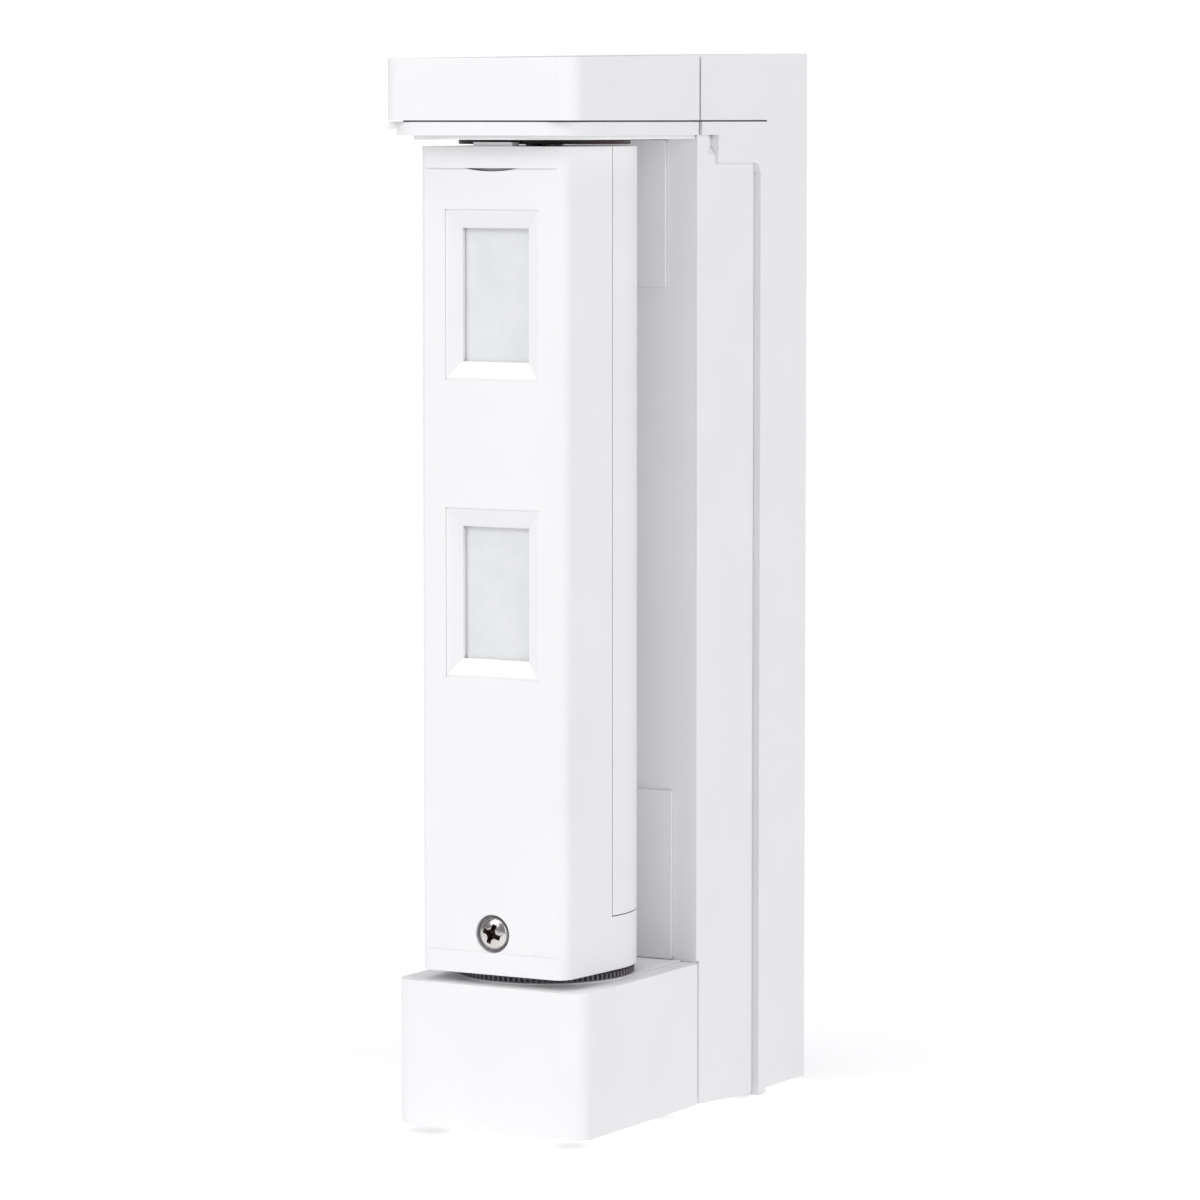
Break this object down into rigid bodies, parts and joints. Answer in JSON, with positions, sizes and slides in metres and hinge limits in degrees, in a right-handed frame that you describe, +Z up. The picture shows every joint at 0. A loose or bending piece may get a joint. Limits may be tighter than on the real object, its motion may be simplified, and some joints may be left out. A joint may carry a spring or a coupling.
{
  "type": "motion detector",
  "caption": "Slim white outdoor wall-mounted passive infrared motion detector with a swivelling sensor head, removable windowed cover, hood, lower block and deep back box.",
  "frame": {"origin": "centre of the width and of the nominal height on the rear wall face, which bears on the wall", "axes": "+Z up, the front looks along -Y, +Y points into the wall, +X to the right seen from the front"},
  "size_m": [0.0376, 0.0834, 0.183],
  "materials": {
    "housing_white": "fine satin moulded ABS",
    "ring_grey": "moulded acetal",
    "washer_brown": "moulded dark acetal",
    "inner_plastic": "moulded black plastic",
    "seal_rubber": "soft rubber",
    "steel": "plated steel",
    "screw_steel": "bright stainless steel",
    "cell_wrap": "shrink-wrap film",
    "circuit_board": "solder-resist lacquer",
    "lens_film": "frosted translucent polyethylene",
    "led_red": "clear red epoxy",
    "switch_body": "moulded",
    "lever_white": "moulded",
    "plunger_brass": "turned"
  },
  "bodies": {
    "housing": {"back_box": "housing_white", "chassis": "housing_white", "hood": "housing_white", "hood_plate": "housing_white", "lower_block": "housing_white", "block_base": "housing_white", "click_ring": "ring_grey", "lower_bush": "inner_plastic", "upper_bush": "inner_plastic", "thrust_washer": "washer_brown", "box_gasket": "seal_rubber", "cable_grommet": "seal_rubber", "battery_holder": "inner_plastic", "battery_cells": "cell_wrap", "battery_contacts": "steel", "main_board": "circuit_board", "terminal_block": "inner_plastic", "terminal_screws": "steel", "tamper_housing": "inner_plastic", "case_screws": "steel", "hood_screws": "steel", "base_screws": "steel", "bracket_screws": "steel"},
    "head": {"rear_shell": "housing_white", "lower_spindle": "steel", "upper_spindle": "steel", "spindle_clip": "steel", "click_ball": "steel", "click_spring": "steel", "sensor_board": "circuit_board", "board_screws": "steel", "upper_sensor": "steel", "lower_sensor": "steel", "upper_shroud": "inner_plastic", "lower_shroud": "inner_plastic", "indicator_led": "led_red", "option_switch": "switch_body", "cover_seal": "seal_rubber"},
    "cover": {"front_cover": "housing_white", "upper_lens": "lens_film", "lower_lens": "lens_film", "lens_frames": "inner_plastic"},
    "lock_screw": {"lock_screw": "screw_steel"},
    "tamper_plunger": {"tamper_plunger": "plunger_brass"},
    "option_lever_1": {"option_lever_1": "lever_white"},
    "option_lever_2": {"option_lever_2": "lever_white"},
    "option_lever_3": {"option_lever_3": "lever_white"},
    "option_lever_4": {"option_lever_4": "lever_white"}
  },
  "joints": [
    {"name": "head_swivel", "type": "hinge", "parent": "housing", "child": "head", "pos_m": [0, -0.0607, 0], "axis": [0, 0, 1], "range_deg": [-90, 90]},
    {"name": "cover_release", "type": "slide", "parent": "head", "child": "cover", "axis": [0, -1, 0], "range_m": [0, 0.045]},
    {"name": "lock_screw_turn", "type": "hinge", "parent": "cover", "child": "lock_screw", "pos_m": [0, -0.0785, -0.0565], "axis": [0, -1, 0], "continuous": true},
    {"name": "tamper_press", "type": "slide", "parent": "housing", "child": "tamper_plunger", "axis": [0, -1, 0], "range_m": [0, 0.0012], "stiffness_N_per_m": 250, "springref_m": -0.0006},
    {"name": "option_lever_1_slide", "type": "slide", "parent": "head", "child": "option_lever_1", "axis": [0, 0, 1], "range_m": [0, 0.0016]},
    {"name": "option_lever_2_slide", "type": "slide", "parent": "head", "child": "option_lever_2", "axis": [0, 0, 1], "range_m": [0, 0.0016]},
    {"name": "option_lever_3_slide", "type": "slide", "parent": "head", "child": "option_lever_3", "axis": [0, 0, 1], "range_m": [0, 0.0016]},
    {"name": "option_lever_4_slide", "type": "slide", "parent": "head", "child": "option_lever_4", "axis": [0, 0, 1], "range_m": [0, 0.0016]}
  ]
}
